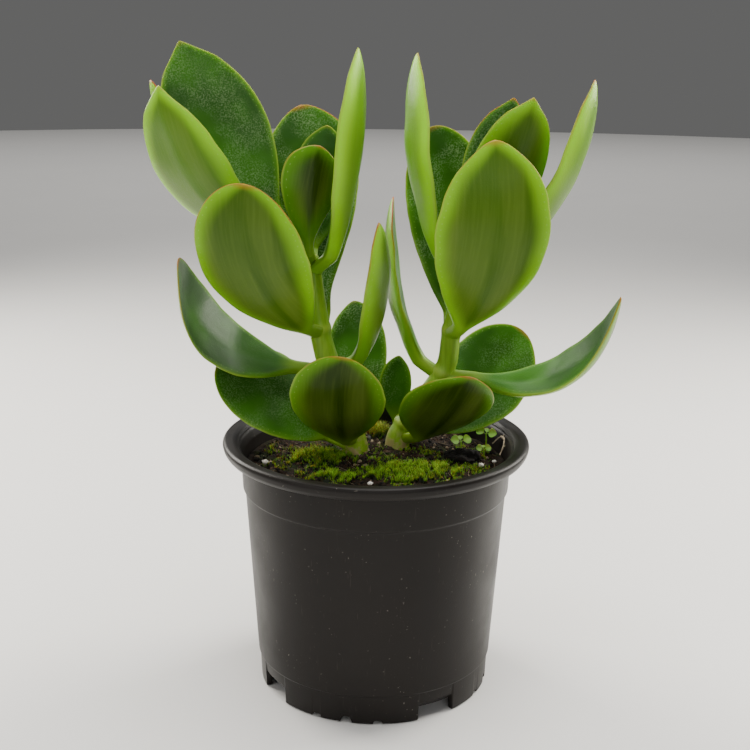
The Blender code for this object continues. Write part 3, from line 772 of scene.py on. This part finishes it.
# belly is where a blade is widest, as a fraction of its length, and point how pointed it is: 0.5
# is round. cup is how deep its trough is, thick its greatest thickness, stalk its base's width.
bladeKinds = dict(
    round=dict(belly=0.60, point=0.52, cup=1.0, thick=4.6, stalk=7.0),
    oval=dict(belly=0.60, point=0.62, cup=2.0, thick=4.6, stalk=7.0),
    pointed=dict(belly=0.58, point=0.78, cup=2.0, thick=4.2, stalk=6.0),
    fleshy=dict(belly=0.60, point=0.68, cup=2.5, thick=6.0, stalk=7.0),
    young=dict(belly=0.60, point=0.65, cup=1.5, thick=3.2, stalk=4.5),
    paddle=dict(belly=0.72, point=0.60, cup=1.5, thick=3.2, stalk=4.5),
    broad=dict(belly=0.72, point=0.60, cup=2.0, thick=4.6, stalk=6.0),
)

# Leaves grow in opposite pairs, each pair across the one below. at is a pair's place on its stem,
# counted along stems from 0, and axis the side of the stem that its first leaf grows from, as a
# heading from +X towards +Y; its second leaf grows from the other side. A leaf reaches from there
# to its tip, and the middle of its midrib hangs sag below that line and lean to its right. faces
# is the heading that its upper side looks to.
leafPairs = [
    dict(stem="left_stem", at=0.6, axis=-100, leaves=[
        dict(name="left_basal_front_leaf", blade="round", tip=(-12.5, -27, 139), sag=5, lean=2.5,
             width=36, faces=85),
        dict(name="left_basal_back_leaf", blade="oval", tip=(-10, 42, 145), sag=2, lean=1.5,
             width=26, faces=-120),
    ]),
    dict(stem="left_stem", at=0.4, axis=180, leaves=[
        dict(name="left_basal_side_leaf", blade="round", tip=(-63, 4, 126), sag=-2, lean=2,
             width=38, faces=-60),
    ]),
    dict(stem="left_stem", at=2.0, axis=190, leaves=[
        dict(name="left_low_outer_leaf", blade="oval", tip=(-73.5, -14, 172), sag=18, width=35,
             faces=-30),
        dict(name="left_low_inner_leaf", blade="fleshy", tip=(0, -12, 186), sag=6, width=26,
             faces=180),
    ]),
    dict(stem="left_stem", at=3.0, axis=-100, leaves=[
        dict(name="left_mid_front_leaf", blade="round", tip=(-47, -30, 202), sag=8, lean=7,
             width=43, faces=80),
        dict(name="left_mid_back_leaf", blade="broad", tip=(-31, 33, 225), sag=1, lean=3, width=35,
             faces=-90),
    ]),
    dict(stem="left_stem", at=4.0, axis=-45, leaves=[
        dict(name="left_upper_inner_leaf", blade="fleshy", tip=(-8, -6, 248), sag=4.5, width=29,
             faces=168),
    ]),
    dict(stem="left_stem", at=4.6, axis=-90, leaves=[
        dict(name="left_top_front_leaf", blade="paddle", tip=(-22, 5, 212), sag=2, lean=3, width=23,
             faces=100),
        dict(name="left_top_back_leaf", blade="young", tip=(-20, 24, 218), sag=2, width=23,
             faces=-90),
    ]),
    dict(stem="side_shoot", at=2.0, axis=-125, leaves=[
        dict(name="side_shoot_front_leaf", blade="pointed", tip=(-80, -5, 234), sag=8, lean=6.5,
             width=42, faces=62),
    ]),
    dict(stem="side_shoot", at=2.0, axis=125, leaves=[
        dict(name="side_shoot_back_leaf", blade="pointed", tip=(-77, 28, 249), sag=3, lean=-2,
             width=39, faces=-105),
    ]),
    dict(stem="side_shoot", at=2.35, axis=180, leaves=[
        dict(name="side_shoot_young_leaf", blade="young", tip=(-86, 13, 235), sag=9, width=21,
             faces=55),
    ]),
    dict(stem="right_stem", at=0.6, axis=-50, leaves=[
        dict(name="right_basal_front_leaf", blade="oval", tip=(35, -16, 129), sag=3, width=38,
             faces=100),
    ]),
    dict(stem="right_stem", at=0.5, axis=35, leaves=[
        dict(name="right_basal_back_leaf", blade="round", tip=(60, 34, 135), sag=7, width=41,
             faces=-110),
    ]),
    dict(stem="right_stem", at=0.7, axis=105, leaves=[
        dict(name="right_basal_small_leaf", blade="young", tip=(9, 18, 128), sag=1, lean=-1.5,
             width=13, faces=-90),
    ]),
    dict(stem="right_stem", at=2.0, axis=-30, leaves=[
        dict(name="right_low_outer_leaf", blade="fleshy", tip=(89, -20, 161), sag=19, lean=1,
             width=28, faces=185),
        dict(name="right_low_inner_leaf", blade="fleshy", tip=(6, 30, 190), sag=6.5, width=24,
             faces=5),
    ]),
    dict(stem="right_stem", at=3.0, axis=-85, leaves=[
        dict(name="right_mid_front_leaf", blade="oval", tip=(41, -18, 217), sag=12, lean=-4,
             width=43, faces=95),
        dict(name="right_mid_back_leaf", blade="round", tip=(20, 34, 217), sag=3, lean=6, width=36,
             faces=-80),
    ]),
    dict(stem="right_stem", at=4.0, axis=0, leaves=[
        dict(name="right_upper_outer_leaf", blade="fleshy", tip=(80, 10, 237), sag=11, width=28,
             faces=148),
        dict(name="right_upper_inner_leaf", blade="fleshy", tip=(14, 10, 246), sag=7, width=28,
             faces=14),
    ]),
    dict(stem="right_stem", at=4.6, axis=-50, leaves=[
        dict(name="right_top_front_leaf", blade="pointed", tip=(56, -4, 231), sag=1, width=30,
             faces=100),
    ]),
    dict(stem="right_stem", at=4.6, axis=60, leaves=[
        dict(name="right_top_back_leaf", blade="pointed", tip=(52, 27, 229), sag=3, width=27,
             faces=-90),
    ]),
]
# Painted backlight glow of each underside, painted sheen of its upper side and how red the
# margin is at the tip, 0 to 1
plainLook = (0.4, 0.35, 0.35)
leafLooks = dict(
    left_basal_front_leaf=(0.15, 0.2, 0.4), right_basal_front_leaf=(0.1, 0.2, 0.7),
    left_mid_front_leaf=(0.5, 0.2, 0.8), right_mid_front_leaf=(0.55, 0.2, 0.5),
    left_upper_inner_leaf=(1.0, 0.2, 0.1), left_top_front_leaf=(0.05, 0.3, 0.5),
    left_top_back_leaf=(0.4, 0.5, 0.1), left_mid_back_leaf=(0.4, 1.0, 0.9),
    left_low_outer_leaf=(0.3, 0.12, 0.5), left_basal_back_leaf=(0.3, 1.0, 0.1),
    left_basal_side_leaf=(0.3, 0.45, 0.1), left_low_inner_leaf=(0.6, 0.3, 0.7),
    side_shoot_back_leaf=(0.4, 0.6, 0.1), side_shoot_front_leaf=(0.75, 0.3, 0.15),
    side_shoot_young_leaf=(0.8, 0.2, 1.0),
    right_low_inner_leaf=(0.5, 0.3, 1.0), right_mid_back_leaf=(0.4, 0.8, 0.3),
    right_top_back_leaf=(0.5, 0.6, 0.9), right_top_front_leaf=(0.55, 0.3, 0.3),
    right_upper_inner_leaf=(1.0, 0.3, 0.3), right_upper_outer_leaf=(0.9, 0.3, 0.6),
    right_low_outer_leaf=(0.3, 0.1, 0.4), right_basal_small_leaf=(0.4, 0.8, 0.2),
)
leafShape = dict(
    rows=84, columns=60, seatGap=1.1, groove=0.35, keel=0.45, midrib=1.9, wave=0.3, nip=1.0,
    ragged=0.006, root=0.07,
)


def allLeaves():
    # Each leaf with its blade's proportions and its pair's place on the stem
    for pair in leafPairs:
        for number, own in enumerate(pair["leaves"]):
            leaf = dict(lean=0)
            leaf.update(bladeKinds[own["blade"]])
            leaf.update(own)
            leaf["look"] = leafLooks.get(own["name"], plainLook)
            leaf.update(stem=pair["stem"], at=pair["at"], axis=pair["axis"] + 180 * number)
            yield leaf


def leafSeat(leaf):
    # Where the leaf starts, on its stem's surface, and the point inside the stem that it grows from
    places = np.array(stems[leaf["stem"]])
    low = min(int(leaf["at"]), len(places) - 2)
    part = leaf["at"] - low
    here = places[low] * (1 - part) + places[low + 1] * part
    reach = np.array(leaf["tip"]) - here[:3]
    steepness = abs(reach[2]) / np.linalg.norm(reach)
    axis = radians(leaf["axis"])
    outward = np.array([cos(axis), sin(axis), 0.0])
    away = here[3] + leafShape["seatGap"] + 0.45 * leaf["thick"] * steepness
    return here[:3] + away * outward, here[:3] + 0.35 * here[3] * outward - [0.0, 0.0, 1.2]


def leafHalf(leaf, along):
    # Half-width: a blade widest at belly, and a stalk that tapers into it
    start, belly = 0.05, leaf["belly"]
    grown = np.clip((along - start) / (belly - start), 0.0, None)
    rest = np.clip(1.0 - along, 0.0, None) / (1.0 - belly)
    swell = leaf["point"] * (belly - start) / (1.0 - belly)
    blade = leaf["width"] / 2.0 * grown**swell * rest ** leaf["point"]
    stalk = leaf["stalk"] / 2.0 * np.clip(1.0 - along / 0.9, 0.0, None)
    return np.cbrt(blade**3 + stalk**3)


def leafSurface(leaf, seed):
    # centre(s) + half(s) cos v * side(s) + (thick(s) bulge(v) + cup(s) cos^2 v) * normal(s): s runs
    # along the leaf, v around it, centre is a hanging parabola and bulge is fuller underneath
    part = np.linspace(0.0, 1.0, leafShape["rows"])
    along = (0.35 * part + 0.65 * (1.0 - np.cos(np.pi * part)) / 2.0)[:-1]
    seat, root = leafSeat(leaf)
    reach = np.array(leaf["tip"]) - seat
    length = np.linalg.norm(reach)
    faces = radians(leaf["faces"])
    look = np.array([cos(faces), sin(faces), 1.0])
    upper = unit(look - look.dot(unit(reach)) * unit(reach))
    right = np.cross(unit(reach), upper)
    hang = leaf["lean"] * right - leaf["sag"] * upper
    s = along[:, None]
    centre = seat + reach * s + 4.0 * s * (1.0 - s) * hang
    forward = unit(reach + 4.0 * (1.0 - 2.0 * s) * hang)
    normal = unit(upper - np.sum(upper * forward, axis=1, keepdims=True) * forward)
    side = np.cross(forward, normal)
    centre = centre + (root - seat) * (1.0 - smoothStep(s, 0.0, leafShape["root"]))

    nip = leafShape["nip"] * (leaf["point"] - 0.5)  # pointed blades narrow more at the tip
    half = leafHalf(leaf, along) * (1.0 - nip * smoothStep(along, 0.88, 1.0))
    half = half * (1.0 + leafShape["ragged"] * ripples(s * length, 17.0, seed, 2))
    thick = np.minimum(leaf["thick"] / 2.0 * np.clip(1.0 - along, 0.0, None) ** 0.45, half * 0.9)
    cup = leaf["cup"] * (half / (leaf["width"] / 2.0)) ** 1.5
    v = evenly(leafShape["columns"])
    v = v - 0.22 * np.sin(2.0 * v)  # closer together at the two margins
    across, rise = np.cos(v), np.sin(v)
    bulge = np.sign(rise) * np.abs(rise) ** 1.1
    bulge = np.where(bulge > 0.0, bulge * 0.8, bulge * 1.2)
    inBlade = np.sqrt(np.clip(np.sin(np.pi * along), 0.0, 1.0))[:, None]
    sideways = half[:, None] * across
    midrib = np.exp(-((sideways / leafShape["midrib"]) ** 2)) * inBlade
    up = thick[:, None] * bulge + cup[:, None] * across**2
    up = up - np.where(rise > 0.0, leafShape["groove"], leafShape["keel"]) * midrib
    rings = centre[:, None] + sideways[..., None] * side[:, None] + up[..., None] * normal[:, None]
    flat = stacked(s * length + 0 * across, sideways)
    uneven = ripples(flat.reshape(-1, 2), 31.0, seed + 1, 2).reshape(up.shape)
    wave = leafShape["wave"] * uneven * inBlade
    rings = rings + wave[..., None] * normal[:, None]

    points, meshFaces = closedTube(rings, root, np.array(leaf["tip"], float))
    own = stacked(flat[..., 0], flat[..., 1], rise + 0 * up).reshape(-1, 3)
    own = np.vstack([own, [[0.0, 0.0, 0.0], [length, 0.0, 0.0]]])
    edge = half[:, None] * (1.0 - np.abs(across))
    margin = stacked(edge, s + 0 * edge, 0 * edge).reshape(-1, 3)
    return points, meshFaces, own, np.vstack([margin, [[3.0, 0.0, 0.0], [0.0, 1.0, 0.0]]])


def makeLeafFinish():
    # blade is (length along, distance from the midrib, -1 underside to 1 upper side), margin is
    # (distance from the edge, fraction of the length) and look is (painted glow, painted sheen,
    # red)
    f = Finish("leafSkin", Roughness=0.36, Specular_IOR_Level=0.16,
               Subsurface_Weight=0.12, Subsurface_Scale=0.003)
    f.shader.inputs["Subsurface Radius"].default_value = (0.7, 1.0, 0.15)
    where = f.place()
    blade, margin, look = (f.field(name, "Vector") for name in ("blade", "margin", "look"))
    along, across, side = f.parts(blade)
    edge, part = f.parts(margin)[:2]
    paintedGlow, paintedSheen, red = f.parts(look)
    slow = f.noise(where, 42.0, 2.0)
    streaks = f.noise(f.stretched(blade, (0.012, 0.062, 0.0)), 1.0, 1.0, 0.4)
    fine = f.noise(f.stretched(blade, (0.06, 0.9, 0.0)), 1.0, 2.0, 0.5)
    speckle = f.noise(where, 1700.0, 2.0, 0.6)

    top = f.blend(f.span(slow, 0.35, 0.65), (0.018, 0.078, 0.003), (0.040, 0.150, 0.006))
    # Painted glow: the upper side lightens towards its margin, standing in for backlight through
    # the thin edge
    top = f.blend(f.span(edge, 3.2, 0.3, 0.0, 0.6), top, (0.11, 0.27, 0.012))
    # Painted sheen: pale speckles on the upper side, as strong as the leaf's painted sheen amount
    sheen = f.span(f.noise(where, 60.0, 2.0), 0.38, 0.62)
    sheen = f.times(f.times(sheen, paintedSheen), f.span(speckle, 0.42, 0.66))
    top = f.blend(f.times(sheen, 0.55), top, (0.30, 0.42, 0.20))

    # Underside: a dark core, and painted backlight glow reaching in from the margin, brighter on
    # leaves given more painted glow
    reachIn = f.plus(edge, f.times(f.calc("SUBTRACT", streaks, 0.5), 7.0))
    core = f.blend(f.calc("POWER", paintedGlow, 2.2), (0.018, 0.040, 0.001), (0.140, 0.340, 0.008))
    glow = f.blend(paintedGlow, (0.068, 0.200, 0.002), (0.350, 0.740, 0.012))
    under = f.blend(f.span(reachIn, 8.5, 0.8), core, glow)
    soft = f.times(f.span(streaks, 0.48, 0.66), f.span(edge, 2.0, 8.0, 0.0, 0.45))
    under = f.blend(soft, under, (0.17, 0.25, 0.035))
    half = f.times(f.span(across, -0.8, 2.2, 0.0, 0.36), f.span(part, 0.85, 0.4))
    under = f.blend(f.times(half, f.span(edge, 1.0, 6.0)), under, (0.15, 0.23, 0.03))
    under = f.blend(f.span(fine, 0.4, 0.7, 0.0, 0.07), under, (0.26, 0.36, 0.06))
    color = f.blend(f.span(side, -0.22, 0.22), under, top)

    # a paler base, a thin edge of painted glow that turns red towards the tip, and a faint row of
    # dots inside it
    color = f.blend(f.span(along, 12.0, 2.0, 0.0, 0.7), color, (0.20, 0.33, 0.022))
    inBlade = f.span(along, 12.0, 26.0)
    # Painted glow along the thin edge of the blade
    rim = f.times(f.span(edge, 1.0, 0.2, 0.0, 0.5), inBlade)
    color = f.blend(rim, color, (0.33, 0.46, 0.06))
    coming = f.span(f.noise(where, 85.0, 2.0), 0.30, 0.5)
    line = f.times(f.span(edge, 0.7, 0.15), f.times(coming, red))
    line = f.times(line, f.span(part, 0.62, 0.95, 0.08, 1.0))
    color = f.blend(line, color, (0.33, 0.045, 0.018))
    tipped = f.times(f.span(part, 0.968, 1.0), f.span(red, 0.0, 0.6, 0.2, 0.75))
    color = f.blend(tipped, color, (0.40, 0.11, 0.03))
    step = f.calc("SUBTRACT", f.calc("FRACT", f.calc("DIVIDE", along, 2.6)), 0.5)
    inward = f.times(f.calc("SUBTRACT", edge, 1.9), 0.55)
    spread = f.calc("SQRT", f.plus(f.calc("POWER", f.calc("ABSOLUTE", step), 2.0),
                                     f.calc("POWER", f.calc("ABSOLUTE", inward), 2.0)))
    dots = f.times(f.span(spread, 0.15, 0.06, 0.0, 0.3), inBlade)
    color = f.blend(dots, color, (0.36, 0.50, 0.16))
    f.connect(color)

    waxy = f.span(speckle, 0.35, 0.7, 0.30, 0.42)
    f.connect(waxy, "Roughness")
    grain = f.plus(speckle, f.times(f.noise(where, 420.0), 0.8))
    f.bump(grain, 0.2, 0.00035)
    return f.material


def makeLeaves():
    finish = makeLeafFinish()
    worst = 0.0
    for seed, leaf in enumerate(allLeaves(), 200):
        points, faces, own, margin = leafSurface(leaf, seed * 7)
        piece = putMesh(pieceName(leaf["name"]), points, faces, finish,
                        blade=own, margin=margin, look=np.tile(leaf["look"], (len(points), 1)))
        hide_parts(leaf["name"])
        low, high = (np.array(corner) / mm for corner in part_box(leaf["name"]))
        worst = max(worst, (low - points.min(axis=0)).max(), (points.max(axis=0) - high).max())
    print(f"leaves done, at most {worst:.1f} mm outside their solids")


makeLeaves()

# ---- seedlings and the dry rootlet

seedlings = dict(
    seedling_1=dict(foot=(34.0, 8.0), height=5.0, heading=20.0, leaf=4.5),
    seedling_2=dict(foot=(44.5, 15.0), height=7.0, heading=-25.0, leaf=4.5),
    seedling_3=dict(foot=(43.0, 6.5), height=3.2, heading=10.0, leaf=3.2),
)
# (turn, share of the leaf's length, drop below the top, tilt): a pair and a smaller third leaf
seedLeaves = [(0.0, 1.0, 0.1, 12.0), (180.0, 1.0, 0.1, 18.0), (90.0, 0.6, 0.0, 42.0)]
rootlet = [(47.3, 15.5, 92.2, 0.4), (49.9, 13.0, 95.8, 0.45), (51.2, 9.0, 96.8, 0.5),
           (50.8, 5.5, 94.8, 0.5), (49.2, 3.0, 91.6, 0.45)]  # x, y, z, radius


def makeSproutFinish():
    f = Finish("sproutGreen", Roughness=0.45, Subsurface_Weight=0.2,
               Subsurface_Scale=0.001)
    where = f.place()
    color = f.blend(f.noise(where, 500.0), (0.085, 0.26, 0.008), (0.20, 0.42, 0.02))
    color = f.blend(f.span(f.field("rib"), 0.7, 0.0, 0.0, 0.5), color, (0.30, 0.50, 0.06))
    f.connect(color)
    f.bump(f.noise(where, 1500.0), 0.2, 0.0002)
    return f.material


def seedLeaf(base, heading, length, tilt):
    # A thin oval blade past a short stalk, its middle a little sunk and its tip bent down
    s = np.linspace(0.0, 1.0, 22)[:, None]
    angle = evenly(18)[None]
    blade = smoothStep(s, 0.22, 0.3)
    oval = np.sin(np.pi * np.clip((s - 0.22) / 0.78, 0.0, 1.0)) ** 0.7
    half = 0.12 + blade * 0.43 * length * oval
    flat = cos(tilt)
    out = np.array([cos(heading) * flat, sin(heading) * flat, sin(tilt)])
    side = unit(np.cross([0.1, -0.75, 0.66], out))
    up = np.cross(out, side)
    sink = 0.14 * length * (half / (0.36 * length)) * np.cos(angle) ** 2 - 0.12 * length * s**2
    lift = 0.13 * np.sin(angle) + sink
    sideways = half * np.cos(angle)
    rings = base + (length * s)[..., None] * out + sideways[..., None] * side + lift[..., None] * up
    rib = np.concatenate([(np.abs(np.cos(angle)) + 0 * s).ravel(), [0.0, 0.0]])
    return closedTube(rings), rib


def makeSeedlings():
    finish = makeSproutFinish()
    for number, (name, plant) in enumerate(seedlings.items(), 1):
        x, y = plant["foot"]
        ground = soilHeight(x, y)
        top = ground + plant["height"]
        middle = ground + plant["height"] * 0.5
        places = [(x, y, ground - 1.0, 0.36), (x + 0.15, y - 0.1, middle, 0.32), (x, y, top, 0.28)]
        curve = curveThrough(places, 20)[0]
        stalk = closedTube(ringsAlong(curve[:, :3], curve[:, 3], 10))
        parts, ribs = [stalk], [np.ones(len(stalk[0]))]
        heading = radians(plant["heading"])
        for turn, scale, drop, tilt in seedLeaves:
            base = np.array([x, y, top - drop])
            shape, rib = seedLeaf(base, heading + radians(turn), plant["leaf"] * scale,
                                  radians(tilt))
            parts.append(shape)
            ribs.append(rib)
        points, faces = joined(parts)
        piece = putMesh("seedling" + str(number), points, faces, finish, rib=np.concatenate(ribs))
        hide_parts(name)


def makeRootlet():
    f = Finish("straw", Roughness=0.75)
    where = f.place()
    fleck = f.noise(where, 900.0, 3.0, 0.7)
    f.connect(f.blend(fleck, (0.30, 0.20, 0.11), (0.72, 0.62, 0.45)))
    f.bump(fleck, 0.5, 0.0003)
    curve = curveThrough(rootlet, 80)[0]
    rough = 1.0 + 0.12 * ripples(curve[:, :3], 2.2, 301)
    parts = [closedTube(ringsAlong(curve[:, :3], curve[:, 3] * rough * 0.55, 12))]
    for at, out in ((22, (1.6, -0.6, 1.0)), (46, (-1.5, 0.4, 1.2)), (60, (0.6, -1.6, 0.2))):
        base, out = curve[at, :3], np.array(out)
        twig = [(*base, 0.2), (*(base + 0.6 * out), 0.14), (*(base + out + [0, 0, 0.3]), 0.08)]
        branch = curveThrough(twig, 12)[0]
        parts.append(closedTube(ringsAlong(branch[:, :3], branch[:, 3], 8)))
    points, faces = joined(parts)
    piece = putMesh("dryRootlet", points, faces, f.material)
    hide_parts("dry_rootlet")


makeSeedlings()
makeRootlet()
print("seedlings and rootlet done")
